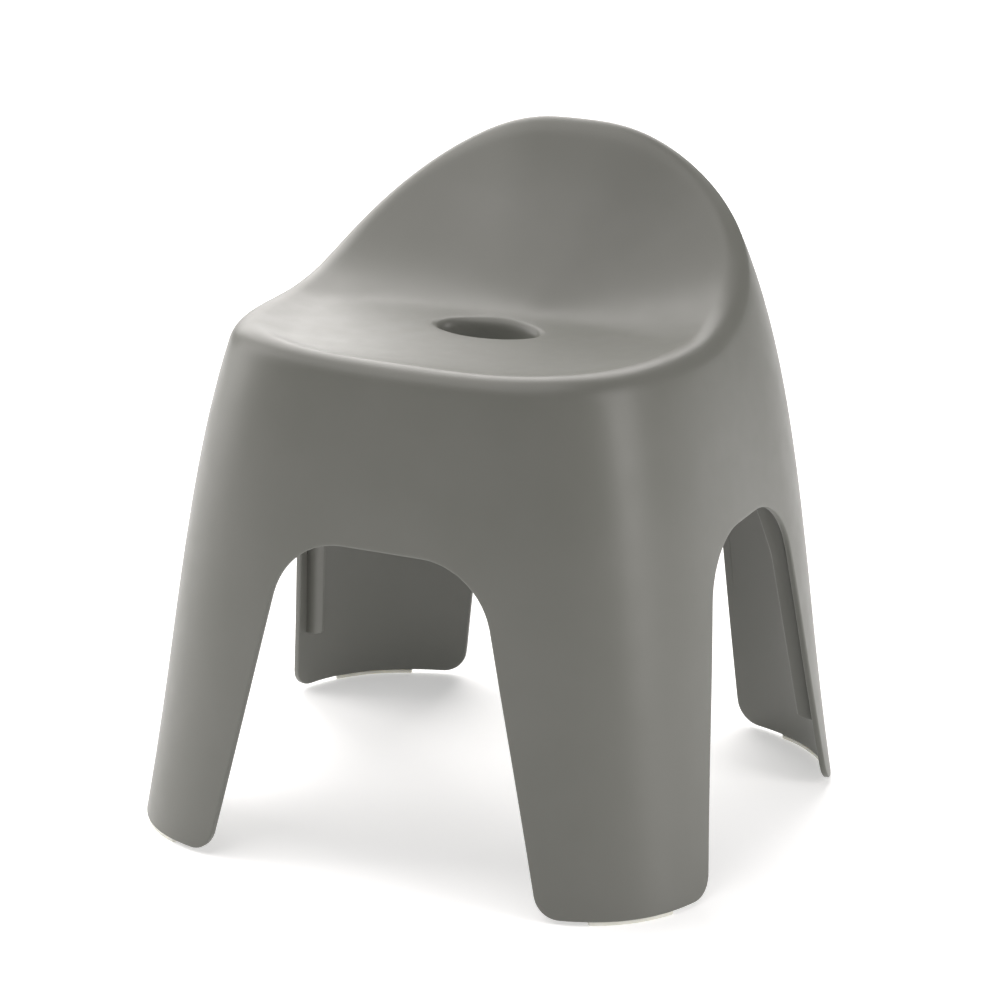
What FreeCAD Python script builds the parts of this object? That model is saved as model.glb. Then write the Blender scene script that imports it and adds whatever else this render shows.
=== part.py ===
"""Shower stool: a moulded seat shell with a low wrap-round back, on four pressed-in foot pads.

Frame: millimetres, +Z up, the front of the stool faces -Y, the back rises on +Y. The origin is the
bottom centre of the bounding box, on the floor. "Left" is -X, as seen from the front.

The shell is one skin of even thickness. Its outside and its inside are lofted surfaces of the same
kind: rings shaped as rounded squares go up the wall, over the rim, into the bowl and down the hand
hole's collar. The inside is set in by the skin's thickness, and a flat ring joins the two surfaces at
each end. Arches cut out of the skirt on all four sides leave the legs.
"""
import FreeCAD, Part

import math
import os

import Sketcher

# Each driving dimension: alias, value, what it is. Lengths in mm, leans in mm per mm.
DIMENSIONS = (
    # Plan of the wall at the floor. The front and rear halves meet on the split line.
    ("half_width", 183.6, "centre to side wall at the floor"),
    ("front_reach", 204.4, "split line to front wall at the floor"),
    ("rear_reach", 125.3, "split line to rear wall at the floor"),
    ("split_offset", 39.4, "split line behind the origin"),
    ("front_square_floor", 4.43, "superellipse power of the front half at the floor"),
    ("front_square_seat", 4.04, "superellipse power of the front half at seat height"),
    ("rear_square_floor", 3.04, "superellipse power of the rear half at the floor"),
    ("rear_square_seat", 2.83, "superellipse power of the rear half at seat height"),
    # How the wall leans in on its way up.
    ("side_lean", 0.123, "side wall lean"),
    ("front_lean", 0.103, "front wall lean"),
    ("shoulder_pull", 11.7, "extra inward pull of the wall at seat height"),
    ("shoulder_power", 4.97, "how late that pull sets in"),
    ("foot_flare", 1.9, "outward kick of the wall at the floor"),
    ("flare_height", 105.0, "height where the kick has died out"),
    # Height of the rim round the plan, and the bowl of the seat.
    ("seat_height", 300.0, "sharp rim height at the front, and the reference for the powers"),
    ("rim_mean", 332.0, "mean rim height"),
    ("rim_rise", 47.5, "rise from front to back"),
    ("rim_saddle", 19.9, "dip of the rim at the two sides"),
    ("rim_third", 0.6, "third harmonic of the rim round the plan"),
    ("rim_fourth", 5.4, "fourth harmonic, which lifts the rim at the corners"),
    ("rim_fifth", 1.0, "fifth harmonic"),
    ("bowl_height", 289.0, "lowest point of the seat"),
    ("bowl_offset", 5.8, "lowest point in front of the origin"),
    ("fold_back", 31.0, "lowest point back to the fold where the seat turns up into the back"),
    ("fold_front", 118.0, "lowest point forward to the same fold"),
    ("fold_side", 112.0, "lowest point sideways to the same fold"),
    ("fold_blend", 13.0, "softness of the fold"),
    ("dish_share", 0.5, "share of the rim's rise that is a plain dish, with no fold"),
    ("front_edge", 14.4, "run of the rounded rim at the front"),
    ("side_edge", 13.3, "run of the rounded rim at the sides"),
    ("rear_edge", 10.0, "run of the rounded rim at the back"),
    ("edge_fullness", 0.75, "conic weight of the rounded rim"),
    ("skin", 3.6, "wall thickness"),
    ("inner_edge", 2.5, "smallest run of the rim's inside rounding"),
    # Arches in the skirt.
    ("front_arch_half", 105.3, "front arch half-width at the floor"),
    ("front_arch_lean", 0.231, "front arch side lean"),
    ("front_arch_height", 195.6, "front arch height"),
    ("back_arch_half", 96.6, "back arch half-width at the floor"),
    ("back_arch_lean", 0.115, "back arch side lean"),
    ("back_arch_height", 181.0, "back arch height"),
    ("side_arch_half", 89.5, "side arch half-width at the floor"),
    ("side_arch_offset", 3.5, "side arch centre in front of the origin"),
    ("side_arch_front_lean", 0.261, "lean of the side arch's front edge"),
    ("side_arch_rear_lean", 0.154, "lean of the side arch's rear edge"),
    ("side_arch_height", 193.8, "side arch height"),
    ("arch_corner", 45.0, "radius of the arches' top corners"),
    ("leg_corner", 16.0, "radius of the legs' bottom corners"),
    # Hand hole in the seat.
    ("hole_half_length", 30.0, "hand hole half-length across the seat"),
    ("hole_half_depth", 15.5, "hand hole half-depth front to back"),
    ("hole_edge", 6.0, "run of the rounded edge of the hand hole"),
    ("collar_wall", 3.0, "wall of the collar under the hand hole"),
    ("collar_drop", 18.0, "collar depth below the seat's lowest point"),
    # Ribs inside the side walls, one in each leg beside the edge of the side arch.
    ("rib_width", 2.6, "rib thickness"),
    ("rib_set_in", 8.0, "side arch's edge to the middle of the rib"),
    ("rib_head_depth", 28.0, "rib depth under the seat, in from the sharp rim"),
    ("rib_waist_depth", 14.2, "rib depth at its waist, from the middle of the wall"),
    ("rib_toe_depth", 12.8, "rib depth at its toe, from the middle of the wall"),
    ("rib_waist_height", 150.0, "height where the rib starts to spread towards the seat"),
    ("rib_foot_height", 44.0, "height of the rib's toe"),
    # Anti-slip pads.
    ("pad_height", 2.4, "how far a pad stands below the leg"),
    ("pad_width", 3.2, "pad width"),
    ("pad_chord", 47.0, "pad length between its end centres"),
    ("pad_edge", 0.6, "rounding of the pad's floor edges"),
    ("front_pad_bend", 70.5, "pad centre-line radius on the front legs"),
    ("rear_pad_bend", 87.5, "pad centre-line radius on the rear legs"),
    ("tongue_height", 3.5, "pad tongue height above the pad"),
    ("tongue_width", 1.6, "pad tongue width"),
    ("tongue_chord", 26.0, "pad tongue length between its end centres"),
    ("tongue_gap", 0.1, "clearance round the tongue in its groove"),
)

RING_POINTS = 56            # points round each level ring
RING_EVENNESS = 1.7         # spreads the ring's points evenly round a rounded square
WALL_STEPS = (0.0, 0.1, 0.2, 0.32, 0.45, 0.58, 0.7, 0.82, 0.92, 1.0)
EDGE_STEPS = (0.2, 0.4, 0.6, 0.8)
BOWL_STEPS = (0.0, 0.08, 0.2, 0.35, 0.5, 0.65, 0.8, 0.9, 0.97, 1.0)
HOLE_STEPS = (0.25, 0.5, 0.75)
COLLAR_STEPS = (0.0, 0.15, 0.5, 1.0)
THROUGH = 600.0             # length of a cutter that has to go right through

PADS = (
    # node name, plan angle of its place under the wall, bend of its centre line
    ("front_left_foot_pad", -132.0, "front_pad_bend"),
    ("front_right_foot_pad", -48.0, "front_pad_bend"),
    ("rear_left_foot_pad", 138.0, "rear_pad_bend"),
    ("rear_right_foot_pad", 42.0, "rear_pad_bend"),
)

document = FreeCAD.newDocument("ShowerStool")
sheet = document.addObject("Spreadsheet::Sheet", "Dimensions")
for row, (alias, value, meaning) in enumerate(DIMENSIONS, start=1):
    sheet.set(f"A{row}", meaning)
    sheet.set(f"B{row}", str(value))
    sheet.setAlias(f"B{row}", alias)
document.recompute()


def size(alias):
    """The value of one cell of the sheet."""
    return float(getattr(sheet, alias))


# ---------------------------------------------------------------------------------------------
# The form of the skin
# ---------------------------------------------------------------------------------------------

def signed_power(value, power):
    return math.copysign(abs(value) ** power, value)


def ring_angles():
    """Angles round the plan that put a rounded square's points at even spacing."""
    angles = []
    for step in range(RING_POINTS):
        turn = 2 * math.pi * step / RING_POINTS + math.pi / 2
        across = signed_power(math.cos(turn), RING_EVENNESS)
        along = signed_power(math.sin(turn), RING_EVENNESS)
        angles.append(math.atan2(along, across))
    return angles


def wall_point(angle, height, inset):
    """Point of the wall at a plan angle and a height, set in by the inset."""
    share = height / size("seat_height")
    kick = size("foot_flare") * max(1 - height / size("flare_height"), 0.0) ** 2
    lean_in = size("shoulder_pull") * share ** size("shoulder_power") - kick
    half_width = size("half_width") - size("side_lean") * height - lean_in - inset
    if math.sin(angle) > 0:
        reach = size("rear_reach") - lean_in - inset
        start, end = size("rear_square_floor"), size("rear_square_seat")
    else:
        reach = size("front_reach") - size("front_lean") * height - lean_in - inset
        start, end = size("front_square_floor"), size("front_square_seat")
    power = 2 / (start + (end - start) * share)
    x = half_width * signed_power(math.cos(angle), power)
    y = reach * signed_power(math.sin(angle), power)
    return FreeCAD.Vector(x, y + size("split_offset"), height)


def rim_height(angle):
    """Height of the sharp rim, before it is rounded, from its direction in plan at seat height."""
    point = wall_point(angle, size("seat_height"), 0.0)
    turn = math.atan2(point.y - size("split_offset"), point.x)
    height = size("rim_mean") + size("rim_rise") * math.sin(turn)
    height -= size("rim_saddle") * math.cos(2 * turn)
    height += size("rim_third") * math.sin(3 * turn)
    height -= size("rim_fourth") * math.cos(4 * turn)
    height -= size("rim_fifth") * math.sin(5 * turn)
    return height


def edge_run(angle):
    """How far from the sharp rim its rounding starts."""
    to_back = (1 + math.sin(angle)) / 2
    middle = (size("front_edge") + size("rear_edge")) / 2
    ends = size("front_edge") * (1 - to_back) + size("rear_edge") * to_back
    return ends + (size("side_edge") - middle) * math.cos(angle) ** 2


def bowl_centre():
    return FreeCAD.Vector(0, -size("bowl_offset"), size("bowl_height"))


def plan_distance(point, other):
    return math.hypot(point.x - other.x, point.y - other.y)


def oval_radius(rim_point, grow):
    """Distance from the middle of the hand hole to its wall, towards a rim point."""
    centre = bowl_centre()
    turn = math.atan2(rim_point.y - centre.y, rim_point.x - centre.x)
    half_length = size("hole_half_length") + grow
    half_depth = size("hole_half_depth") + grow
    return 1 / math.hypot(math.cos(turn) / half_length, math.sin(turn) / half_depth)


def conic(first, corner, last, step, fullness):
    """Point on the rounding between two ends, drawn towards the sharp corner."""
    parts = ((1 - step) ** 2, 2 * step * (1 - step) * fullness, step ** 2)
    return (first * parts[0] + corner * parts[1] + last * parts[2]) / sum(parts)


def bowl_rise(rim_point, share):
    """How much of the rim's rise the bowl has made at a share of the way out, and its slope.

    A plain dish is mixed with a form that stays level up to the fold and then climbs evenly.
    """
    centre = bowl_centre()
    run = plan_distance(rim_point, centre)
    turn = math.atan2(rim_point.y - centre.y, rim_point.x - centre.x)
    depth = size("fold_back") if math.sin(turn) > 0 else size("fold_front")
    fold = 1 / math.hypot(math.cos(turn) / size("fold_side"), math.sin(turn) / depth)
    blend, dish = size("fold_blend"), size("dish_share")
    past = share * run - fold
    start = math.hypot(fold, blend) - fold
    end = run - fold + math.hypot(run - fold, blend)
    climb = (past + math.hypot(past, blend) - start) / (end - start)
    climb_slope = (1 + past / math.hypot(past, blend)) / (end - start)
    rise = dish * share ** 3 + (1 - dish) * climb
    slope = dish * 3 * share ** 2 / run + (1 - dish) * climb_slope
    return rise, slope


def bowl_point(rim_point, share, inset):
    """Point of the bowl at a share of the way from its lowest point out to the sharp rim.

    The inset is measured square to the surface, so on a slope the point drops by more.
    """
    centre = bowl_centre()
    full_rise = rim_point.z - centre.z
    rise, slope = bowl_rise(rim_point, share)
    point = centre + (rim_point - centre) * share
    point.z = centre.z + full_rise * rise - inset * math.hypot(1, full_rise * slope)
    return point


def inner_rim(angle, inset):
    """The sharp rim of the inside form: where the set-in wall meets the set-in bowl."""
    rim_point = wall_point(angle, rim_height(angle), 0.0)
    centre = bowl_centre()
    run = plan_distance(rim_point, centre)
    height = rim_point.z - inset
    for _ in range(40):
        wall = wall_point(angle, height, inset)
        share = plan_distance(wall, centre) / run
        height = (height + bowl_point(rim_point, share, inset).z) / 2
    return wall_point(angle, height, inset)


def profile(angle, foot_height, inset):
    """Points from the wall's foot, over the rounded rim, across the bowl and down the hand hole."""
    centre = bowl_centre()
    rim_point = wall_point(angle, rim_height(angle), 0.0)
    full = plan_distance(rim_point, centre)
    corner = inner_rim(angle, inset) if inset else rim_point
    run = max(edge_run(angle) - inset, size("inner_edge"))
    wall_top = corner.z - run
    edge_share = (plan_distance(corner, centre) - run) / full
    points = []
    for step in WALL_STEPS:
        points.append(wall_point(angle, foot_height + (wall_top - foot_height) * step, inset))
    first = points[-1]
    last = bowl_point(rim_point, edge_share, inset)
    for step in EDGE_STEPS:
        points.append(conic(first, corner, last, step, size("edge_fullness")))

    hole_edge = size("hole_edge")
    hole = oval_radius(rim_point, size("collar_wall") if inset else 0.0)
    hole_share = (hole + hole_edge) / full
    for step in BOWL_STEPS:
        points.append(bowl_point(rim_point, edge_share + (hole_share - edge_share) * step, inset))
    first = points[-1]
    corner = bowl_point(rim_point, hole / full, inset)
    last = FreeCAD.Vector(corner.x, corner.y, corner.z - hole_edge)
    for step in HOLE_STEPS:
        points.append(conic(first, corner, last, step, size("edge_fullness")))
    bottom = centre.z - size("collar_drop")
    for step in COLLAR_STEPS:
        points.append(FreeCAD.Vector(last.x, last.y, last.z + (bottom - last.z) * step))
    return points


def ring_wire(points):
    """A smooth closed curve through the points, with the same knots on every ring."""
    curve = Part.BSplineCurve()
    knots = [float(index) for index in range(len(points) + 1)]
    curve.interpolate(Points=points, PeriodicFlag=True, Parameters=knots)
    return Part.Wire([curve.toShape()])


def rings(inset):
    """Level rings of the skin's outside (inset 0) or inside, from the foot to the collar's end."""
    profiles = [profile(angle, size("pad_height"), inset) for angle in ring_angles()]
    return [ring_wire(list(ring)) for ring in zip(*profiles)]


def skin_solid():
    """The whole skin before the arches: two lofted surfaces joined by a flat ring at each end."""
    outside, inside = rings(0.0), rings(size("skin"))
    faces = []
    for surface in (outside, inside):
        faces += Part.makeLoft(surface, False, False, False, 5).Faces
    faces.append(Part.makeFace([outside[0], inside[0]], "Part::FaceMakerBullseye"))
    faces.append(Part.makeFace([outside[-1], inside[-1]], "Part::FaceMakerBullseye"))
    skin = Part.Compound(faces)
    skin.sewShape()
    solid = Part.makeSolid(skin.Shells[0])
    solid.fix(1e-4, 1e-6, 1e-3)
    return solid


# ---------------------------------------------------------------------------------------------
# Sketch helpers
# ---------------------------------------------------------------------------------------------

def bind(target, name, expression):
    target.setExpression(name, expression)


def plane(body, role):
    """One of the body's own origin planes."""
    return next(item for item in body.Origin.OriginFeatures if item.Role == role)


def new_sketch(body, name, role):
    sketch = body.newObject("Sketcher::SketchObject", name)
    sketch.AttachmentSupport = [(plane(body, role), "")]
    sketch.MapMode = "FlatFace"
    return sketch


def constrain(sketch, name, kind, *arguments, expression):
    """Adds a named dimension to the sketch and ties it to the sheet."""
    index = sketch.addConstraint(Sketcher.Constraint(kind, *arguments))
    sketch.renameConstraint(index, name)
    bind(sketch, f"Constraints.{name}", expression)


def pad_sketch(body, name, sketch, length):
    feature = body.newObject("PartDesign::Pad", name)
    feature.Profile = sketch
    bind(feature, "Length", length)
    return feature


def arc_slot(body, name, bend, width, chord):
    """A bent slot centred on the sketch's X axis: bend radius, width and chord are expressions."""
    sketch = new_sketch(body, name, "XY_Plane")
    radius, half, reach = 70.0, 1.6, 0.3
    up = FreeCAD.Vector(0, 0, 1)
    origin = FreeCAD.Vector(0, 0, 0)
    sketch.addGeometry(Part.ArcOfCircle(Part.Circle(origin, up, radius + half), -reach, reach))
    sketch.addGeometry(Part.ArcOfCircle(Part.Circle(origin, up, radius - half), -reach, reach))
    for side in (1, -1):
        centre = FreeCAD.Vector(radius * math.cos(reach), side * radius * math.sin(reach), 0)
        start = reach if side > 0 else math.pi - reach
        cap = Part.Circle(centre, up, half)
        sketch.addGeometry(Part.ArcOfCircle(cap, start, start + math.pi))
    outer, inner, upper, lower = range(4)
    for arc in (outer, inner):
        sketch.addConstraint(Sketcher.Constraint("Coincident", arc, 3, -1, 1))
    sketch.addConstraint(Sketcher.Constraint("Tangent", outer, 2, upper, 1))
    sketch.addConstraint(Sketcher.Constraint("Tangent", upper, 2, inner, 2))
    sketch.addConstraint(Sketcher.Constraint("Tangent", inner, 1, lower, 1))
    sketch.addConstraint(Sketcher.Constraint("Tangent", lower, 2, outer, 1))
    sketch.addConstraint(Sketcher.Constraint("Vertical", lower, 3, upper, 3))
    constrain(sketch, "outer_bend", "Radius", outer, radius + half,
              expression=f"{bend} + ({width}) / 2")
    constrain(sketch, "cap_round", "Radius", upper, half, expression=f"({width}) / 2")
    constrain(sketch, "chord", "DistanceY", lower, 3, upper, 3, 2 * radius * math.sin(reach),
              expression=chord)
    return sketch


def arch_sketch(body, name, half, left_lean, right_lean, height, offset):
    """Outline of an arch with sharp corners. It stands on the floor and goes on a little below it."""
    role = "XZ_Plane" if name.startswith(("front", "back")) else "YZ_Plane"
    sketch = new_sketch(body, name, role)
    wide, tall, lean, below = 95.0, 190.0, 0.2, 10.0
    corners = (
        FreeCAD.Vector(-wide, 0, 0),
        FreeCAD.Vector(-wide + lean * tall, tall, 0),
        FreeCAD.Vector(wide - lean * tall, tall, 0),
        FreeCAD.Vector(wide, 0, 0),
        FreeCAD.Vector(wide, -below, 0),
        FreeCAD.Vector(-wide, -below, 0),
    )
    for index, start in enumerate(corners):
        sketch.addGeometry(Part.LineSegment(start, corners[(index + 1) % len(corners)]))
    left, top, right, drop_right, floor, drop_left = range(6)
    for index in range(6):
        sketch.addConstraint(Sketcher.Constraint("Coincident", index, 2, (index + 1) % 6, 1))
    sketch.addConstraint(Sketcher.Constraint("Horizontal", top))
    sketch.addConstraint(Sketcher.Constraint("Horizontal", floor))
    sketch.addConstraint(Sketcher.Constraint("Vertical", drop_right))
    sketch.addConstraint(Sketcher.Constraint("Vertical", drop_left))
    sketch.addConstraint(Sketcher.Constraint("PointOnObject", left, 1, -1))
    sketch.addConstraint(Sketcher.Constraint("PointOnObject", right, 2, -1))
    shift = (f" + {offset}", f" - {offset}") if offset else ("", "")
    constrain(sketch, "left_foot", "DistanceX", left, 1, -1, 1, wide, expression=half + shift[0])
    constrain(sketch, "right_foot", "DistanceX", -1, 1, right, 2, wide, expression=half + shift[1])
    constrain(sketch, "rise", "DistanceY", left, 1, left, 2, tall, expression=height)
    constrain(sketch, "left_in", "DistanceX", left, 1, left, 2, lean * tall,
              expression=f"{left_lean} * {height}")
    constrain(sketch, "right_in", "DistanceX", right, 1, right, 2, lean * tall,
              expression=f"{right_lean} * {height}")
    sketch.addConstraint(Sketcher.Constraint("DistanceY", floor, 1, right, 2, below))
    return sketch


def arch_tool(name, half, left_lean, right_lean, height, offset, both_ways, reverse):
    """Cutter for one arch, or for the two side arches at once."""
    body = document.addObject("PartDesign::Body", f"{name}_tool")
    sketch = arch_sketch(body, name, half, left_lean, right_lean, height, offset)
    block = body.newObject("PartDesign::Pad", f"{name}_block")
    block.Profile = sketch
    block.Length = THROUGH if both_ways else THROUGH / 2
    block.Midplane = both_ways
    block.Reversed = reverse
    document.recompute()
    corners = []
    for index, edge in enumerate(block.Shape.Edges, start=1):
        heights = [vertex.Z for vertex in edge.Vertexes]
        lies_through = edge.Length > THROUGH / 2 - 1
        if lies_through and min(heights) > size("seat_height") / 3:
            corners.append(f"Edge{index}")
    rounding = body.newObject("PartDesign::Fillet", f"{name}_corners")
    rounding.Base = (block, corners)
    bind(rounding, "Radius", "Dimensions.arch_corner")
    body.Tip = rounding
    return body


# ---------------------------------------------------------------------------------------------
# Foot pads and their grooves
# ---------------------------------------------------------------------------------------------

def bent_placement(angle_degrees, bend):
    """Placement that puts a bent slot's centre line on the middle of the leg's wall.

    The wall leans, so its middle is taken half-way up the tongue, to leave wall on both its sides.
    """
    angle = math.radians(angle_degrees)
    middle = size("skin") / 2
    height = size("pad_height") + size("tongue_height") / 2
    step = math.radians(0.5)
    here = wall_point(angle, height, middle)
    along = wall_point(angle + step, height, middle) - wall_point(angle - step, height, middle)
    outward = FreeCAD.Vector(along.y, -along.x, 0).normalize()
    facing = math.degrees(math.atan2(outward.y, outward.x))
    rotation = FreeCAD.Rotation(FreeCAD.Vector(0, 0, 1), facing)
    here.z = 0
    return FreeCAD.Placement(here - outward * size(bend), rotation)


def foot_pad(name, angle_degrees, bend):
    body = document.addObject("PartDesign::Body", name)
    body.Label = name
    strip = arc_slot(body, f"{name}_strip", f"Dimensions.{bend}", "Dimensions.pad_width",
                     "Dimensions.pad_chord")
    base = pad_sketch(body, f"{name}_base", strip, "Dimensions.pad_height")
    document.recompute()
    floor_edges = []
    for index, edge in enumerate(base.Shape.Edges, start=1):
        if max(vertex.Z for vertex in edge.Vertexes) < size("pad_height") / 2:
            floor_edges.append(f"Edge{index}")
    rounding = body.newObject("PartDesign::Fillet", f"{name}_rounding")
    rounding.Base = (base, floor_edges)
    bind(rounding, "Radius", "Dimensions.pad_edge")
    document.recompute()
    key = arc_slot(body, f"{name}_key", f"Dimensions.{bend}", "Dimensions.tongue_width",
                   "Dimensions.tongue_chord")
    tongue = pad_sketch(body, f"{name}_tongue", key,
                        "Dimensions.pad_height + Dimensions.tongue_height")
    body.Tip = tongue
    body.Placement = bent_placement(angle_degrees, bend)
    return body


def groove_tool(name, angle_degrees, bend):
    """The tongue with its clearance all round, to be cut out of the leg."""
    body = document.addObject("PartDesign::Body", f"{name}_groove_tool")
    slot = arc_slot(body, f"{name}_groove", f"Dimensions.{bend}",
                    "Dimensions.tongue_width + 2 * Dimensions.tongue_gap",
                    "Dimensions.tongue_chord")
    pad_sketch(body, f"{name}_groove_block", slot,
               "Dimensions.pad_height + Dimensions.tongue_height + Dimensions.tongue_gap")
    body.Placement = bent_placement(angle_degrees, bend)
    return body


# ---------------------------------------------------------------------------------------------
# Shell
# ---------------------------------------------------------------------------------------------

def bowl_below(point, angle, inset):
    """The bowl's point at a place in plan. The angle is a first guess of its direction."""
    centre = bowl_centre()
    wanted = math.atan2(point.y - centre.y, point.x - centre.x)
    for _ in range(60):
        rim_point = wall_point(angle, rim_height(angle), 0.0)
        angle += (wanted - math.atan2(rim_point.y - centre.y, rim_point.x - centre.x)) / 2
    share = plan_distance(point, centre) / plan_distance(rim_point, centre)
    return bowl_point(rim_point, share, inset)


def side_wall_point(height, y, inset):
    """Point of the +X wall at a height and a place front to back, and its plan angle."""
    low, high = -math.pi / 2, math.pi / 2
    for _ in range(50):
        angle = (low + high) / 2
        point = wall_point(angle, height, inset)
        low, high = (angle, high) if point.y < y else (low, angle)
    return point, angle


def side_rib(name, side, end):
    """Upright rib square to a side wall, rooted in the middle of the wall and of the bowl.

    It runs beside the side arch's edge and leans with it. Its free edge follows the wall up to a
    waist and spreads from there to the seat. The side is 1 for +X and the end is 1 for the rear; the
    rib is drawn on +X and mirrored where needed.
    """
    lean = size("side_arch_rear_lean") if end > 0 else size("side_arch_front_lean")
    foot_y = end * (size("side_arch_half") + size("rib_set_in")) - size("side_arch_offset")
    middle = size("skin") / 2

    def y_at(height):
        return foot_y - end * lean * height

    _, angle = side_wall_point(size("seat_height"), y_at(size("seat_height")), middle)
    wall_top = profile(angle, 0.0, middle)[len(WALL_STEPS) - 1].z
    foot = size("rib_foot_height")
    heights = [foot + (wall_top - foot) * step for step in WALL_STEPS]
    wall = [side_wall_point(height, y_at(height), middle)[0] for height in heights]
    rim_point = wall_point(angle, rim_height(angle), middle)
    under_bowl = []
    for depth in (edge_run(angle), size("rib_head_depth")):
        point = FreeCAD.Vector(rim_point.x - depth, 0.0, wall_top)
        for _ in range(8):
            point.y = y_at(point.z)
            point.z = bowl_below(point, angle, middle).z
        point.y = y_at(point.z)
        under_bowl.append(point)
    waist_height = size("rib_waist_height")
    waist = side_wall_point(waist_height, y_at(waist_height), middle)[0]
    waist -= FreeCAD.Vector(size("rib_waist_depth"), 0, 0)
    toe = wall[0] - FreeCAD.Vector(size("rib_toe_depth"), 0, 0)
    across = FreeCAD.Vector(0, 1, end * lean).normalize()
    outline = [wall[-1]] + under_bowl + [waist, toe, wall[0]]
    if side < 0:
        for point in wall[:-1] + outline[:-1]:
            point.x = -point.x
    root = Part.BSplineCurve()
    root.interpolate(Points=wall)
    edges = [root.toShape()]
    for start, stop in zip(outline, outline[1:]):
        edges.append(Part.LineSegment(start, stop).toShape())
    blade = Part.Face(Part.Wire(edges)).extrude(across * size("rib_width"))
    blade.translate(across * (-size("rib_width") / 2))
    feature = document.addObject("Part::Feature", name)
    feature.Shape = blade
    return feature


def boolean(kind, name, base, tools):
    """A cut or a fusion. Several tools are joined first."""
    if kind == "Part::MultiFuse":
        feature = document.addObject(kind, name)
        feature.Shapes = [base] + tools
        return feature
    tool = tools[0]
    if len(tools) > 1:
        tool = document.addObject("Part::Compound", f"{name}_tools")
        tool.Links = tools
    feature = document.addObject(kind, name)
    feature.Base = base
    feature.Tool = tool
    return feature


def leg_corner_edges(shape):
    """Edges across the wall where an arch's side meets a leg's flat bottom."""
    found = []
    for index, edge in enumerate(shape.Edges, start=1):
        level = all(abs(vertex.Z - size("pad_height")) < 0.01 for vertex in edge.Vertexes)
        short = 1.0 < edge.Length < 3 * size("skin")
        straight = isinstance(edge.Curve, (Part.Line, Part.LineSegment))
        if level and short and straight:
            found.append(index)
    return found


def seat_shell():
    skin = document.addObject("Part::Feature", "skin")
    skin.Shape = skin_solid()
    arches = [
        arch_tool("front_arch", "Dimensions.front_arch_half", "Dimensions.front_arch_lean",
                  "Dimensions.front_arch_lean", "Dimensions.front_arch_height",
                  None, both_ways=False, reverse=False),
        arch_tool("back_arch", "Dimensions.back_arch_half", "Dimensions.back_arch_lean",
                  "Dimensions.back_arch_lean", "Dimensions.back_arch_height",
                  None, both_ways=False, reverse=True),
        arch_tool("side_arch", "Dimensions.side_arch_half", "Dimensions.side_arch_front_lean",
                  "Dimensions.side_arch_rear_lean", "Dimensions.side_arch_height",
                  "Dimensions.side_arch_offset", both_ways=True, reverse=False),
    ]
    legs = boolean("Part::Cut", "legs", skin, arches)
    document.recompute()
    rounded = document.addObject("Part::Fillet", "leg_corners")
    rounded.Base = legs
    radius = size("leg_corner")
    rounded.Edges = [(index, radius, radius) for index in leg_corner_edges(legs.Shape)]
    ribs = [
        side_rib("front_left_rib", -1, -1),
        side_rib("front_right_rib", 1, -1),
        side_rib("rear_left_rib", -1, 1),
        side_rib("rear_right_rib", 1, 1),
    ]
    solid = boolean("Part::MultiFuse", "stiffened_shell", rounded, ribs)
    grooves = [groove_tool(*pad) for pad in PADS]
    shell = boolean("Part::Cut", "seat_shell", solid, grooves)
    shell.Label = "seat_shell"
    return shell


def check(feature):
    """Stops the build if the object failed or its shape isn't one valid solid."""
    if any(state in ("Invalid", "Error") for state in feature.State):
        raise RuntimeError(f"{feature.Label}: {feature.State}")


parts = [foot_pad(*pad) for pad in PADS]
parts.insert(0, seat_shell())
document.recompute()
for item in document.Objects:
    check(item)
os.makedirs("parts", exist_ok=True)
for part in parts:
    if part.Shape.isNull() or not part.Shape.isValid() or len(part.Shape.Solids) != 1:
        raise RuntimeError(f"{part.Label}: shape is not one valid solid")
    part.Shape.exportStep(f"parts/{part.Label}.step")
    box = part.Shape.BoundBox
    print(f"{part.Label}: {part.Shape.Volume / 1000:.1f} cm3, box "
          f"{box.XMin:.1f} {box.YMin:.1f} {box.ZMin:.1f} to {box.XMax:.1f} {box.YMax:.1f} {box.ZMax:.1f}")
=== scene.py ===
"""Looks of the shower stool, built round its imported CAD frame.

Lengths are millimetres until a mesh is made, in the CAD frame: +Z up, front facing -Y.
The shell's form repeats the CAD part's own driving dimensions. Its skin is one closed sheet of
quads: columns run up the outside, over the rim, down through the hand hole and back inside.
"""

import math

import bpy
import numpy as np
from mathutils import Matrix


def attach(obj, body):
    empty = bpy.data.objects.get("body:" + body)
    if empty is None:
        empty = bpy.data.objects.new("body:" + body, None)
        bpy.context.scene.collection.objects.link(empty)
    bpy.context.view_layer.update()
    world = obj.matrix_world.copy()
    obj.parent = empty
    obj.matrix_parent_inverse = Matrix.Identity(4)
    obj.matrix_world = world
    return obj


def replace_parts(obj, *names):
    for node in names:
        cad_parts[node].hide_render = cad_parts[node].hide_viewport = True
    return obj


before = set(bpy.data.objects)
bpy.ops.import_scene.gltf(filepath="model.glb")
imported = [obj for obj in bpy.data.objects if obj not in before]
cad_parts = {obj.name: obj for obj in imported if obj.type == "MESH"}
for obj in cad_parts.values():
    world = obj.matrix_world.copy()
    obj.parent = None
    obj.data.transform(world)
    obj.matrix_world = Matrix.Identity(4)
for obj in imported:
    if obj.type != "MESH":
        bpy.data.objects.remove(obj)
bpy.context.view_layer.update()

MM = 0.001
PAD_NODES = sorted(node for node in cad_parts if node.endswith("_foot_pad"))
LEGS = {
    # Side, +1 for +X, and end, +1 for the rear.
    "front_left": (-1, -1),
    "front_right": (1, -1),
    "rear_left": (-1, 1),
    "rear_right": (1, 1),
}

# ---------------------------------------------------------------------------------------------
# Driving dimensions
# ---------------------------------------------------------------------------------------------

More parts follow.
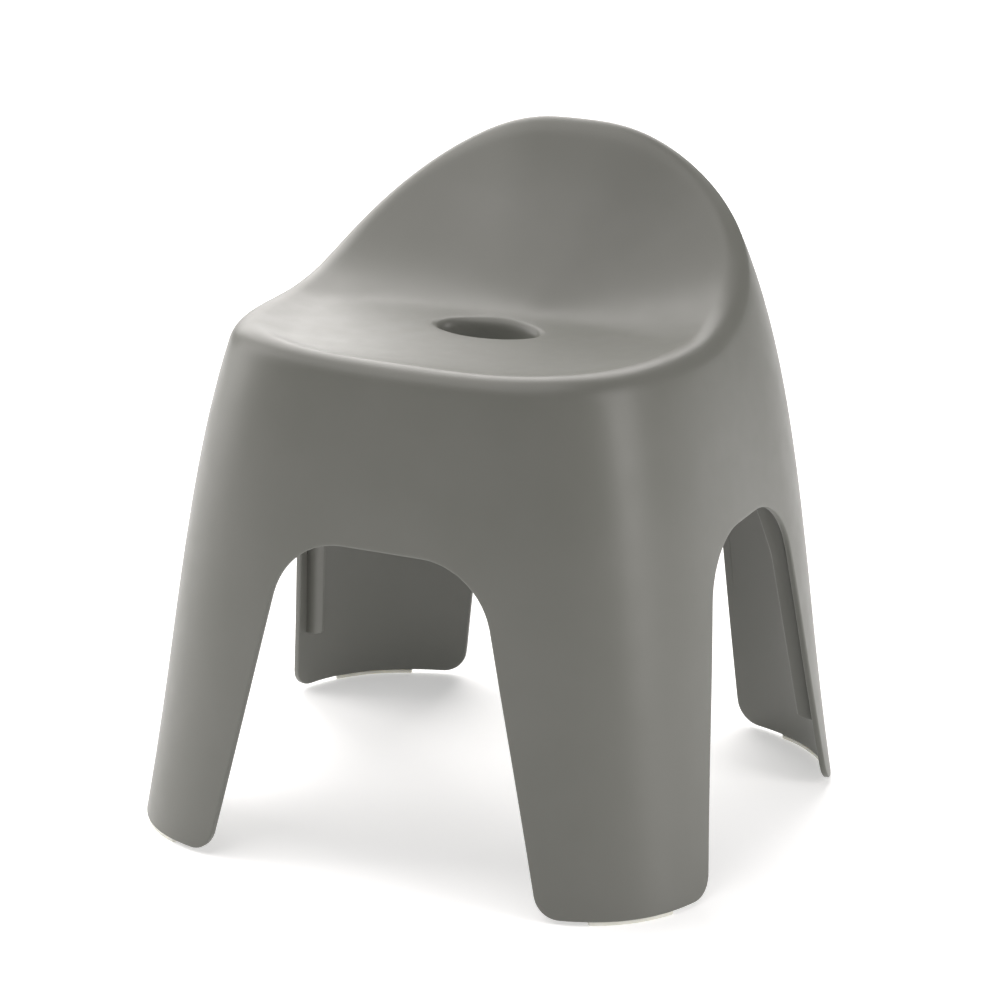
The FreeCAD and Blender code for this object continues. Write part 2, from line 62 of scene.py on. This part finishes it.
# Plan of the wall at the floor and the powers of its rounded squares.
HALF_WIDTH = 183.6
FRONT_REACH = 204.4
REAR_REACH = 125.3
SPLIT_OFFSET = 39.4
FRONT_SQUARE = (4.43, 4.04)
REAR_SQUARE = (3.04, 2.83)
# Leans of the wall.
SIDE_LEAN = 0.123
FRONT_LEAN = 0.103
SHOULDER_PULL = 11.7
SHOULDER_POWER = 4.97
FOOT_FLARE = 1.9
FLARE_HEIGHT = 105.0
# Rim and bowl.
SEAT_HEIGHT = 300.0
RIM_MEAN = 332.0
RIM_RISE = 47.5
RIM_SADDLE = 19.9
RIM_THIRD = 0.6
RIM_FOURTH = 5.4
RIM_FIFTH = 1.0
BOWL_CENTRE = np.array([0.0, -5.8, 289.0])
# Distances from the bowl's lowest point to the fold where the seat turns up, and its softness.
FOLD_BACK = 31.0
FOLD_FRONT = 118.0
FOLD_SIDE = 112.0
FOLD_BLEND = 13.0
DISH_SHARE = 0.5        # share of the rim's rise that is a plain dish, with no fold
# Runs of the rounded rim, the conic weight of every rounding, and the skin's thickness.
FRONT_EDGE = 14.4
SIDE_EDGE = 13.3
REAR_EDGE = 10.0
EDGE_FULLNESS = 0.75
SKIN = 3.6
INNER_EDGE = 2.5
# Hand hole and its collar.
HOLE_HALF_LENGTH = 30.0
HOLE_HALF_DEPTH = 15.5
HOLE_EDGE = 6.0
COLLAR_WALL = 3.0
COLLAR_DROP = 18.0
# Arches: (half-width at the floor, lean, height), and the side arch's two leans.
FRONT_ARCH = (105.3, 0.231, 195.6)
BACK_ARCH = (96.6, 0.115, 181.0)
SIDE_ARCH_HALF = 89.5
SIDE_ARCH_LEANS = (0.261, 0.154)
SIDE_ARCH_HEIGHT = 193.8
SIDE_ARCH_CENTRE = -3.5
ARCH_CORNER = 45.0
LEG_CORNER = 16.0
# Ribs inside the side walls.
RIB_SET_IN = 8.0
RIB_HEAD_DEPTH = 28.0
RIB_WAIST_DEPTH = 14.2
RIB_TOE_DEPTH = 12.8
RIB_WAIST_HEIGHT = 150.0
RIB_FOOT_HEIGHT = 44.0
RIB_ROOT_WIDTH = 3.0
RIB_TIP_WIDTH = 2.0

PAD_TOP = 2.4           # height of the legs' flat bottoms

# Mesh densities.
COLUMNS = 448
FINE_COLUMNS = 16000
COLUMN_EVENNESS = 1.9   # spreads the fine columns evenly round a rounded square
BEND_WEIGHT = 14.0      # columns drawn to a bend of the skirt's edge, in mm for each radian
CLIMB_WEIGHT = 0.14     # columns drawn to a climb of that edge

HALVINGS = 50           # rounds of a search by halving
SETTLING = 60           # rounds of a search that steps towards its answer


def smooth(value):
    """0 to 1 with level ends."""
    value = np.clip(value, 0.0, 1.0)
    return value * value * (3 - 2 * value)


def signed_power(value, power):
    return np.sign(value) * np.abs(value) ** power


def unit(vectors):
    return vectors / np.linalg.norm(vectors, axis=-1, keepdims=True)


# ---------------------------------------------------------------------------------------------
# The skin's form
# ---------------------------------------------------------------------------------------------

def wall(angle, height, inset=0.0):
    """Points of the wall at plan angles and heights, set in by the inset."""
    angle, height = np.broadcast_arrays(np.asarray(angle, float), np.asarray(height, float))
    share = np.clip(height / SEAT_HEIGHT, 0.0, None)
    kick = FOOT_FLARE * np.clip(1 - height / FLARE_HEIGHT, 0.0, None) ** 2
    lean_in = SHOULDER_PULL * share ** SHOULDER_POWER - kick
    half_width = HALF_WIDTH - SIDE_LEAN * height - lean_in - inset
    is_rear = np.sin(angle) > 0
    rear = REAR_REACH - lean_in - inset
    front = FRONT_REACH - FRONT_LEAN * height - lean_in - inset
    reach = np.where(is_rear, rear, front)
    rear_power = REAR_SQUARE[0] + (REAR_SQUARE[1] - REAR_SQUARE[0]) * share
    front_power = FRONT_SQUARE[0] + (FRONT_SQUARE[1] - FRONT_SQUARE[0]) * share
    power = 2 / np.where(is_rear, rear_power, front_power)
    x = half_width * signed_power(np.cos(angle), power)
    y = reach * signed_power(np.sin(angle), power) + SPLIT_OFFSET
    return np.stack([x, y, height], axis=-1)


def rim_height(angle):
    """Height of the sharp rim, from its direction in plan at seat height."""
    point = wall(angle, SEAT_HEIGHT)
    turn = np.arctan2(point[..., 1] - SPLIT_OFFSET, point[..., 0])
    height = RIM_MEAN + RIM_RISE * np.sin(turn) - RIM_SADDLE * np.cos(2 * turn)
    height += RIM_THIRD * np.sin(3 * turn)
    return height - RIM_FOURTH * np.cos(4 * turn) - RIM_FIFTH * np.sin(5 * turn)


def edge_run(angle):
    """How far from the sharp rim its rounding starts."""
    to_back = (1 + np.sin(angle)) / 2
    ends = FRONT_EDGE * (1 - to_back) + REAR_EDGE * to_back
    return ends + (SIDE_EDGE - (FRONT_EDGE + REAR_EDGE) / 2) * np.cos(angle) ** 2


def plan_distance(points):
    """Distance in plan from the bowl's lowest point."""
    return np.hypot(points[..., 0] - BOWL_CENTRE[0], points[..., 1] - BOWL_CENTRE[1])


def bowl_rise(rim, share):
    """How much of the rim's rise the bowl has made at a share of the way out, and its slope."""
    run = plan_distance(rim)
    turn = np.arctan2(rim[..., 1] - BOWL_CENTRE[1], rim[..., 0] - BOWL_CENTRE[0])
    depth = np.where(np.sin(turn) > 0, FOLD_BACK, FOLD_FRONT)
    fold = 1 / np.hypot(np.cos(turn) / FOLD_SIDE, np.sin(turn) / depth)
    past = share * run - fold
    start = np.hypot(fold, FOLD_BLEND) - fold
    end = run - fold + np.hypot(run - fold, FOLD_BLEND)
    climb = (past + np.hypot(past, FOLD_BLEND) - start) / (end - start)
    climb_slope = (1 + past / np.hypot(past, FOLD_BLEND)) / (end - start)
    rise = DISH_SHARE * share ** 3 + (1 - DISH_SHARE) * climb
    slope = DISH_SHARE * 3 * share ** 2 / run + (1 - DISH_SHARE) * climb_slope
    return rise, slope


def bowl(rim, share, inset=0.0):
    """Points of the bowl at a share of the way out from its lowest point to the sharp rim."""
    share = np.broadcast_to(share, rim.shape[:-1])
    full_rise = rim[..., 2] - BOWL_CENTRE[2]
    rise, slope = bowl_rise(rim, share)
    points = BOWL_CENTRE + (rim - BOWL_CENTRE) * share[..., None]
    points[..., 2] = BOWL_CENTRE[2] + full_rise * rise - inset * np.hypot(1, full_rise * slope)
    return points


def inner_rim(angle, rim, inset):
    """The sharp rim of the skin's inside: where the set-in wall meets the set-in bowl."""
    height = rim[..., 2] - inset
    for _ in range(40):
        share = plan_distance(wall(angle, height, inset)) / plan_distance(rim)
        height = (height + bowl(rim, share, inset)[..., 2]) / 2
    return wall(angle, height, inset)


def oval_radius(rim, grow):
    """Distance from the middle of the hand hole to its wall, towards the rim points."""
    turn = np.arctan2(rim[..., 1] - BOWL_CENTRE[1], rim[..., 0] - BOWL_CENTRE[0])
    length, depth = HOLE_HALF_LENGTH + grow, HOLE_HALF_DEPTH + grow
    return 1 / np.hypot(np.cos(turn) / length, np.sin(turn) / depth)


def conic(first, corner, last, steps, fullness=EDGE_FULLNESS):
    """Rows of points on the rounding between two rows, drawn towards the sharp corner."""
    rows = []
    for step in np.arange(1, steps + 1) / (steps + 1):
        parts = ((1 - step) ** 2, 2 * step * (1 - step) * fullness, step ** 2)
        rows.append((first * parts[0] + corner * parts[1] + last * parts[2]) / sum(parts))
    return rows


# ---------------------------------------------------------------------------------------------
# Arches
# ---------------------------------------------------------------------------------------------

def arch_edge(distance, half, lean, height):
    """Height of an arch's edge at a distance from its middle, with both its corners rounded."""
    slant = math.hypot(lean, 1)
    top_z = height - ARCH_CORNER
    top_x = half - lean * top_z - ARCH_CORNER * slant
    foot_z = PAD_TOP + LEG_CORNER
    foot_x = half - lean * foot_z + LEG_CORNER * slant
    top_arc = top_z + np.sqrt(np.clip(ARCH_CORNER ** 2 - (distance - top_x) ** 2, 0, None))
    foot_arc = foot_z - np.sqrt(np.clip(LEG_CORNER ** 2 - (distance - foot_x) ** 2, 0, None))
    side = (half - distance) / lean
    zones = [
        distance <= top_x,
        distance <= top_x + ARCH_CORNER / slant,
        distance <= foot_x - LEG_CORNER / slant,
        distance <= foot_x,
    ]
    return np.select(zones, [np.full_like(distance, height), top_arc, side, foot_arc], PAD_TOP)


def skirt_edge(points):
    """Height of the skirt's lower edge over points in plan."""
    x, y = np.abs(points[..., 0]), points[..., 1]
    ends = np.where(y < 0, arch_edge(x, *FRONT_ARCH), arch_edge(x, *BACK_ARCH))
    along = y - SIDE_ARCH_CENTRE
    sides = [arch_edge(np.abs(along), SIDE_ARCH_HALF, lean, SIDE_ARCH_HEIGHT)
             for lean in SIDE_ARCH_LEANS]
    return np.maximum(ends, np.where(along < 0, *sides))


def lowest_height(angle, inset=0.0):
    """Height where the wall ends at each plan angle, found by halving."""
    low = np.full_like(angle, PAD_TOP)
    high = np.full_like(angle, FRONT_ARCH[2] + 10)
    for _ in range(HALVINGS):
        middle = (low + high) / 2
        is_open = skirt_edge(wall(angle, middle, inset)) > middle
        low = np.where(is_open, middle, low)
        high = np.where(is_open, high, middle)
    return (low + high) / 2


def column_angles():
    """Plan angles of the columns, closest together where the skirt's edge bends or climbs."""
    turn = np.linspace(-math.pi / 2, 3 * math.pi / 2, FINE_COLUMNS + 1)
    angle = np.arctan2(signed_power(np.sin(turn), COLUMN_EVENNESS),
                       signed_power(np.cos(turn), COLUMN_EVENNESS))
    angle = np.unwrap(angle)
    edge = wall(angle, lowest_height(angle))
    step = np.diff(edge, axis=0)
    along = np.hypot(step[:, 0], step[:, 1])
    slope = np.arctan2(step[:, 2], along)
    bend = np.abs(np.diff(slope, append=slope[-1:]))
    pull = BEND_WEIGHT * bend + CLIMB_WEIGHT * np.abs(step[:, 2])
    measure = np.concatenate([[0], np.cumsum(along + pull)])
    wanted = np.linspace(0, measure[-1], COLUMNS, endpoint=False)
    return np.interp(wanted, measure, angle)


def slopes(angle, height, inset):
    """Directions in which the wall moves with the angle and with the height."""
    by_angle = wall(angle + 1e-4, height, inset) - wall(angle - 1e-4, height, inset)
    by_height = wall(angle, height + 0.05, inset) - wall(angle, height - 0.05, inset)
    return by_angle / 2e-4, by_height / 0.1


def step_in(angle, height, inset, distance):
    """Angles and heights of points a distance in from the skirt's edge, square to it."""
    by_angle, by_height = slopes(angle, height, inset)
    edge = wall(angle, height, inset)
    along = unit(np.roll(edge, -1, axis=0) - np.roll(edge, 1, axis=0))
    square = unit(np.cross(np.cross(by_angle, by_height), along))
    a, b, c = (np.sum(u * v, -1) for u, v in
               ((by_angle, by_angle), (by_angle, by_height), (by_height, by_height)))
    p, q = np.sum(square * by_angle, -1), np.sum(square * by_height, -1)
    determinant = a * c - b * b
    return (angle + distance * (p * c - q * b) / determinant,
            height + distance * (q * a - p * b) / determinant)


def across_wall(angle, height, inset):
    """Plan angles of the inside points that lie square across the wall from the outside ones."""
    outside = wall(angle, height)
    found = angle.copy()
    for _ in range(12):
        by_angle, _ = slopes(found, height, inset)
        gap = outside - wall(found, height, inset)
        found = found + np.sum(gap * by_angle, -1) / np.sum(by_angle * by_angle, -1)
    return found


# ---------------------------------------------------------------------------------------------
# Shell
# ---------------------------------------------------------------------------------------------

EDGE_OFFSETS = (1.0, 2.2, 5.0)      # rows beside a cut edge; the rounding starts at the first
WALL_ROWS = 26
RIM_ROWS = 9
BOWL_ROWS = 36
HOLE_ROWS = 6
COLLAR_ROWS = 4
LIP_ROWS = 3
ARCH_BLEND = 1.3                    # how soon the wall's rows leave the arches' outline behind
BOWL_EASE = 0.08                    # draws the bowl's rows towards its two ends
HOLE_LIP = 0.8                      # rounding of the collar's lower end


def wall_rows(angle, edge_angle, edge_height, wall_top, inset):
    """Rows from the cut edge up to the start of the rim's rounding."""
    rows = []
    for distance in EDGE_OFFSETS:
        start_angle, start_height = step_in(edge_angle, edge_height, inset, distance)
        rows.append(wall(start_angle, start_height, inset))
    for step in np.arange(1, WALL_ROWS + 1) / WALL_ROWS:
        row_angle = start_angle + (angle - start_angle) * smooth(step * ARCH_BLEND)
        rows.append(wall(row_angle, start_height + (wall_top - start_height) * step, inset))
    return rows


def seat_rows(angle, rim, wall_row, wall_top, inset):
    """Rows from the top of the wall over the rim, across the bowl and down the collar."""
    corner = inner_rim(angle, rim, inset) if inset else rim
    run = corner[:, 2] - wall_top
    full = plan_distance(rim)
    edge_share = (plan_distance(corner) - run) / full
    hole = oval_radius(rim, COLLAR_WALL if inset else 0.0)
    hole_share = (hole + HOLE_EDGE) / full
    first = bowl(rim, edge_share, inset)
    rows = conic(wall_row, corner, first, RIM_ROWS)
    rows.append(first)
    for step in np.arange(1, BOWL_ROWS + 1) / BOWL_ROWS:
        eased = step + BOWL_EASE * math.sin(2 * math.pi * step)
        rows.append(bowl(rim, edge_share + (hole_share - edge_share) * eased, inset))
    corner = bowl(rim, hole / full, inset)
    last = corner.copy()
    last[:, 2] -= HOLE_EDGE
    rows += conic(rows[-1], corner, last, HOLE_ROWS)
    bottom = BOWL_CENTRE[2] - COLLAR_DROP
    for step in np.arange(0, COLLAR_ROWS + 1) / COLLAR_ROWS:
        row = last.copy()
        row[:, 2] += (bottom - last[:, 2]) * step
        rows.append(row)
    return rows


def rounded_strip(first, start, end, last, radius):
    """Rows across a cut face from one skin row to the other, with both its arrises rounded."""
    across = unit(end - start)
    width = np.linalg.norm(end - start, axis=-1, keepdims=True)
    near, far = start + across * radius, end - across * radius
    rows = conic(first, start, near, LIP_ROWS)
    rows += [near, start + across * width / 2, far]
    return rows + conic(far, end, last, LIP_ROWS)


def shell_rows():
    """All rows of the skin, closed on themselves: outside up and in, inside down and out."""
    angle = column_angles()
    edge_height = lowest_height(angle)
    rim = wall(angle, rim_height(angle))
    sheets = []
    for inset in (0.0, SKIN):
        corner = inner_rim(angle, rim, inset) if inset else rim
        wall_top = corner[:, 2] - np.maximum(edge_run(angle) - inset, INNER_EDGE)
        edge_angle = across_wall(angle, edge_height, inset) if inset else angle
        rows = wall_rows(angle, edge_angle, edge_height, wall_top, inset)
        rows += seat_rows(angle, rim, rows[-1], wall_top, inset)
        sheets.append((wall(edge_angle, edge_height, inset), rows))
    (outer_edge, outside), (inner_edge, inside) = sheets
    hole_end = rounded_strip(outside[-2], outside[-1], inside[-1], inside[-2], HOLE_LIP)
    skirt_end = rounded_strip(inside[0], inner_edge, outer_edge, outside[0], EDGE_OFFSETS[0])
    return outside[:-1] + hole_end + inside[-2::-1] + skirt_end


def mesh_piece(name, points, faces, material):
    """A smooth-shaded piece in metres, riding on the stool's one body."""
    mesh = bpy.data.meshes.new(name)
    mesh.from_pydata((np.asarray(points) * MM).tolist(), [], faces)
    mesh.polygons.foreach_set("use_smooth", [True] * len(mesh.polygons))
    mesh.materials.append(material)
    mesh.update()
    piece = bpy.data.objects.new(name, mesh)
    bpy.context.scene.collection.objects.link(piece)
    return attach(piece, "root")


def closed_faces(row_count, column_count, offset=0):
    """Quads of a grid that closes on itself both ways."""
    faces = []
    for row in range(row_count):
        low, high = row * column_count, (row + 1) % row_count * column_count
        for column in range(column_count):
            beside = (column + 1) % column_count
            faces.append((offset + low + column, offset + low + beside,
                          offset + high + beside, offset + high + column))
    return faces


def build_shell(material):
    """The whole skin as one closed grid, in place of the CAD shell."""
    rows = shell_rows()
    faces = closed_faces(len(rows), COLUMNS)
    shell = mesh_piece("seat_shell_skin", np.concatenate(rows), faces, material)
    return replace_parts(shell, "seat_shell")


# ---------------------------------------------------------------------------------------------
# Ribs inside the side walls
# ---------------------------------------------------------------------------------------------

RIB_ROWS = 40
TOE_ROUNDING = ((0.12, 1.2), (0.3, 2.0), (0.62, 2.6))   # share of the way to the root, drop in mm


def bowl_below(point, angle, inset):
    """The bowl's point at a place in plan. The angle is a first guess of its direction."""
    wanted = math.atan2(point[1] - BOWL_CENTRE[1], point[0] - BOWL_CENTRE[0])
    for _ in range(SETTLING):
        rim = wall(angle, rim_height(angle))
        angle += (wanted - math.atan2(rim[1] - BOWL_CENTRE[1], rim[0] - BOWL_CENTRE[0])) / 2
    return bowl(rim, plan_distance(point) / plan_distance(rim), inset)


def side_wall(height, y, inset):
    """Points of the +X wall at heights and places front to back, and their plan angles."""
    low = np.full_like(height, -math.pi / 2)
    high = -low
    for _ in range(HALVINGS):
        angle = (low + high) / 2
        is_short = wall(angle, height, inset)[..., 1] < y
        low = np.where(is_short, angle, low)
        high = np.where(is_short, high, angle)
    return wall(angle, height, inset), angle


def rib_outline(end):
    """Root points and free edge points of a +X rib, from its toe to its head, and its side.

    The rib runs beside the side arch's edge and leans with it. Its free edge follows the wall up to
    a waist and spreads from there to the seat. The end is 1 for the rear.
    """
    lean = SIDE_ARCH_LEANS[1] if end > 0 else SIDE_ARCH_LEANS[0]
    foot_y = SIDE_ARCH_CENTRE + end * (SIDE_ARCH_HALF + RIB_SET_IN)
    middle = SKIN / 2
    _, angle = side_wall(np.array(SEAT_HEIGHT), foot_y - end * lean * SEAT_HEIGHT, middle)
    angle = float(angle)
    sharp = wall(angle, rim_height(angle))
    wall_top = inner_rim(angle, sharp, middle)[2] - (edge_run(angle) - middle)
    height = np.linspace(RIB_FOOT_HEIGHT, wall_top, RIB_ROWS)
    root, _ = side_wall(height, foot_y - end * lean * height, middle)
    shoulder = wall(angle, rim_height(angle), middle)
    under_bowl = []
    for depth in (edge_run(angle), RIB_HEAD_DEPTH):
        point = np.array([shoulder[0] - depth, 0.0, wall_top])
        for _ in range(8):
            point[1] = foot_y - end * lean * point[2]
            point[2] = bowl_below(point, angle, middle)[2]
        under_bowl.append(point)
    neck, head = under_bowl
    toe = root[0] - np.array([RIB_TOE_DEPTH, 0.0, 0.0])
    waist_y = foot_y - end * lean * RIB_WAIST_HEIGHT
    waist = side_wall(np.array(RIB_WAIST_HEIGHT), waist_y, middle)[0]
    waist = waist - np.array([RIB_WAIST_DEPTH, 0.0, 0.0])
    rows = np.linspace(0, 1, RIB_ROWS)
    waist_row = (RIB_WAIST_HEIGHT - RIB_FOOT_HEIGHT) / (wall_top - RIB_FOOT_HEIGHT)
    free = [np.interp(rows, (0, waist_row, 1), along) for along in zip(toe, waist, head)]
    free = np.stack(free, axis=1)
    root = np.concatenate([root, [neck, (neck + head) / 2]])
    free = np.concatenate([free, [head, head]])
    return root, free, unit(np.array([0.0, 1.0, end * lean]))


def rib_section(root, free, side):
    """Points round the rib at one height: a tapered blade with a rounded free edge."""
    reach = np.linalg.norm(free - root)
    inward = (free - root) / reach
    tip = RIB_TIP_WIDTH / 2
    points = [root - side * RIB_ROOT_WIDTH / 2]
    for turn in np.radians((-90, -60, -30, 0, 30, 60, 90)):
        points.append(free + inward * tip * (math.cos(turn) - 1) + side * tip * math.sin(turn))
    points.append(root + side * RIB_ROOT_WIDTH / 2)
    return points


def build_rib(name, side, end, material):
    """One rib with both ends closed. The side is 1 for +X and the end is 1 for the rear."""
    root, free, across = rib_outline(end)
    mirror = np.array([side, 1, 1])
    root, free = root * mirror, free * mirror
    sections = [rib_section(start, stop, across) for start, stop in zip(root, free)]
    around = len(sections[0])
    # The toe turns into the wall with a small rounding.
    toe = [np.array(sections[0])]
    for step, drop in TOE_ROUNDING:
        pulled = toe[0] + (root[0] - toe[0]) * step
        pulled[:, 2] -= drop
        toe.append(pulled)
    sections = toe[:0:-1] + sections
    faces = []
    for row in range(len(sections) - 1):
        for column in range(around):
            beside = (column + 1) % around
            low, high = row * around, (row + 1) * around
            faces.append((low + column, low + beside, high + beside, high + column))
    faces.append(tuple(range(around))[::-1])
    last = (len(sections) - 1) * around
    faces.append(tuple(range(last, last + around)))
    return mesh_piece(name, np.concatenate(sections), faces, material)


# ---------------------------------------------------------------------------------------------
# Materials
# ---------------------------------------------------------------------------------------------

def new_material(name):
    """A material with its nodes and links."""
    material = bpy.data.materials.new(name)
    material.use_nodes = True
    return material, material.node_tree.nodes, material.node_tree.links


def add_noise(nodes, links, scale, detail, roughness=0.5):
    """A noise texture laid out in the stool's own metres. The scale is in waves per metre."""
    place = nodes.new("ShaderNodeTexCoord")
    noise = nodes.new("ShaderNodeTexNoise")
    noise.inputs["Scale"].default_value = scale
    noise.inputs["Detail"].default_value = detail
    noise.inputs["Roughness"].default_value = roughness
    links.new(place.outputs["Object"], noise.inputs["Vector"])
    return noise.outputs["Fac"]


def spread(nodes, links, value, low, high):
    """Maps the middle of a noise's range to low..high."""
    mapping = nodes.new("ShaderNodeMapRange")
    mapping.inputs["From Min"].default_value = 0.3
    mapping.inputs["From Max"].default_value = 0.7
    mapping.inputs["To Min"].default_value = low
    mapping.inputs["To Max"].default_value = high
    links.new(value, mapping.inputs["Value"])
    return mapping.outputs["Result"]


def blend_colours(nodes, links, factor, first, second):
    mix = nodes.new("ShaderNodeMix")
    mix.data_type = "RGBA"
    mix.inputs["A"].default_value = (*first, 1)
    mix.inputs["B"].default_value = (*second, 1)
    links.new(factor, mix.inputs["Factor"])
    return mix.outputs["Result"]


def add_bump(nodes, links, height, depth, strength):
    """A bump of a height field whose full range is the depth in metres."""
    bump = nodes.new("ShaderNodeBump")
    bump.inputs["Distance"].default_value = depth
    bump.inputs["Strength"].default_value = strength
    links.new(height, bump.inputs["Height"])
    return bump


def shell_plastic():
    """Satin warm-grey polypropylene, with the fine grain of a blasted mould and slow mottling."""
    material, nodes, links = new_material("shell_plastic")
    shader = nodes["Principled BSDF"]
    clouds = add_noise(nodes, links, scale=16.0, detail=3.0)
    tone = spread(nodes, links, clouds, 0.0, 1.0)
    colour = blend_colours(nodes, links, tone, (0.141, 0.143, 0.126), (0.152, 0.153, 0.137))
    links.new(colour, shader.inputs["Base Color"])
    patches = add_noise(nodes, links, scale=60.0, detail=4.0)
    links.new(spread(nodes, links, patches, 0.37, 0.43), shader.inputs["Roughness"])
    grain = add_noise(nodes, links, scale=1500.0, detail=2.0)
    fine = add_bump(nodes, links, grain, depth=0.00012, strength=0.16)
    ripple = add_noise(nodes, links, scale=9.0, detail=1.0)
    slow = add_bump(nodes, links, ripple, depth=0.0006, strength=0.25)
    links.new(slow.outputs["Normal"], fine.inputs["Normal"])
    links.new(fine.outputs["Normal"], shader.inputs["Normal"])
    shader.inputs["IOR"].default_value = 1.49
    return material


def pad_rubber():
    """Milky soft elastomer."""
    material, nodes, links = new_material("pad_rubber")
    shader = nodes["Principled BSDF"]
    clouds = add_noise(nodes, links, scale=120.0, detail=3.0)
    tone = spread(nodes, links, clouds, 0.0, 1.0)
    colour = blend_colours(nodes, links, tone, (0.74, 0.73, 0.66), (0.80, 0.79, 0.73))
    links.new(colour, shader.inputs["Base Color"])
    links.new(spread(nodes, links, clouds, 0.46, 0.58), shader.inputs["Roughness"])
    grain = add_noise(nodes, links, scale=2200.0, detail=2.0)
    fine = add_bump(nodes, links, grain, depth=0.0001, strength=0.2)
    links.new(fine.outputs["Normal"], shader.inputs["Normal"])
    shader.inputs["IOR"].default_value = 1.45
    shader.inputs["Subsurface Weight"].default_value = 0.35
    shader.inputs["Subsurface Radius"].default_value = (0.003, 0.0028, 0.0024)
    shader.inputs["Subsurface Scale"].default_value = 1.0
    return material


# ---------------------------------------------------------------------------------------------
# Stage, light and camera
# ---------------------------------------------------------------------------------------------

CAMERA_AZIMUTH = 25.47
CAMERA_ELEVATION = 18.89
CAMERA_DISTANCE = 2335.8
CAMERA_TARGET = np.array([0.0, SPLIT_OFFSET, 170.3])
CAMERA_SIDE = -12.64
CAMERA_LENS = 141.2

WORLD_STRENGTH = 0.22
FLOOR_HALF = 6.0                            # metres
FLOOR_COLOUR = (0.92, 0.92, 0.92, 1.0)
FLOOR_ROUGHNESS = 0.9
FLOOR_GLOW = 0.38

LIGHT_TARGET = np.array([0.0, 0.0, 0.2])    # metres
SOFTBOX_COLOUR = (1.0, 0.972, 0.958)
SOFTBOXES = (
    # name, azimuth, elevation, distance, width, height in metres, radiance
    ("back", 210.0, 35.0, 3.2, 3.2, 3.5, 3.7),
    ("left", -85.0, 24.0, 2.3, 1.5, 2.1, 3.1),
    ("right", 86.0, 17.0, 2.4, 1.1, 2.0, 3.6),
    ("top", -36.0, 70.0, 2.6, 2.2, 2.2, 1.9),
)


def direction(azimuth, elevation):
    """Unit vector from the stool. Azimuth 0 is the front and 90 the stool's +X side, in degrees."""
    turn, tilt = math.radians(azimuth), math.radians(elevation)
    return np.array([math.sin(turn) * math.cos(tilt), -math.cos(turn) * math.cos(tilt),
                     math.sin(tilt)])


def aim(obj, position, target):
    """Places an object so that its -Z axis points at the target, with its X axis level."""
    obj.location = position
    back = unit(np.asarray(position) - np.asarray(target))
    tilt = math.asin(back[2])
    turn = math.atan2(back[0], -back[1])
    obj.rotation_euler = (math.pi / 2 - tilt, 0.0, turn)


def add_camera():
    """The view of the stool from the front and its +X side, a little from above."""
    turn = math.radians(CAMERA_AZIMUTH)
    right = np.array([math.cos(turn), math.sin(turn), 0.0])
    back = direction(CAMERA_AZIMUTH, CAMERA_ELEVATION)
    target = (CAMERA_TARGET + right * CAMERA_SIDE) * MM
    data = bpy.data.cameras.new("camera")
    data.lens = CAMERA_LENS
    camera = bpy.data.objects.new("camera", data)
    aim(camera, target + back * CAMERA_DISTANCE * MM, target)
    bpy.context.scene.collection.objects.link(camera)
    bpy.context.scene.camera = camera


def add_softbox(name, azimuth, elevation, distance, width, height, radiance):
    """A lit panel facing the stool, its size in metres."""
    data = bpy.data.lights.new(name, "AREA")
    data.shape = "RECTANGLE"
    data.size, data.size_y = width, height
    data.energy = math.pi * width * height * radiance
    data.color = SOFTBOX_COLOUR
    light = bpy.data.objects.new(name, data)
    aim(light, LIGHT_TARGET + direction(azimuth, elevation) * distance, LIGHT_TARGET)
    bpy.context.scene.collection.objects.link(light)


def add_stage():
    """Pale surroundings and a pale floor that glows a little, so that its far end stays white."""
    world = bpy.data.worlds.new("studio")
    world.use_nodes = True
    background = world.node_tree.nodes["Background"]
    background.inputs["Color"].default_value = (1, 1, 1, 1)
    background.inputs["Strength"].default_value = WORLD_STRENGTH
    bpy.context.scene.world = world
    size = FLOOR_HALF
    mesh = bpy.data.meshes.new("floor")
    corners = [(-size, -size, 0), (size, -size, 0), (size, size, 0), (-size, size, 0)]
    mesh.from_pydata(corners, [], [(0, 1, 2, 3)])
    material, nodes, _ = new_material("floor")
    shader = nodes["Principled BSDF"]
    shader.inputs["Base Color"].default_value = FLOOR_COLOUR
    shader.inputs["Roughness"].default_value = FLOOR_ROUGHNESS
    shader.inputs["Emission Color"].default_value = (1, 1, 1, 1)
    shader.inputs["Emission Strength"].default_value = FLOOR_GLOW
    mesh.materials.append(material)
    floor = bpy.data.objects.new("floor", mesh)
    bpy.context.scene.collection.objects.link(floor)


plastic = shell_plastic()
rubber = pad_rubber()
build_shell(plastic)
for leg, (side, end) in LEGS.items():
    build_rib(f"{leg}_rib", side, end, plastic)
for node in PAD_NODES:
    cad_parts[node].data.materials.clear()
    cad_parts[node].data.materials.append(rubber)
add_stage()
add_camera()
for softbox in SOFTBOXES:
    add_softbox(*softbox)
bpy.context.scene.view_settings.view_transform = "Standard"
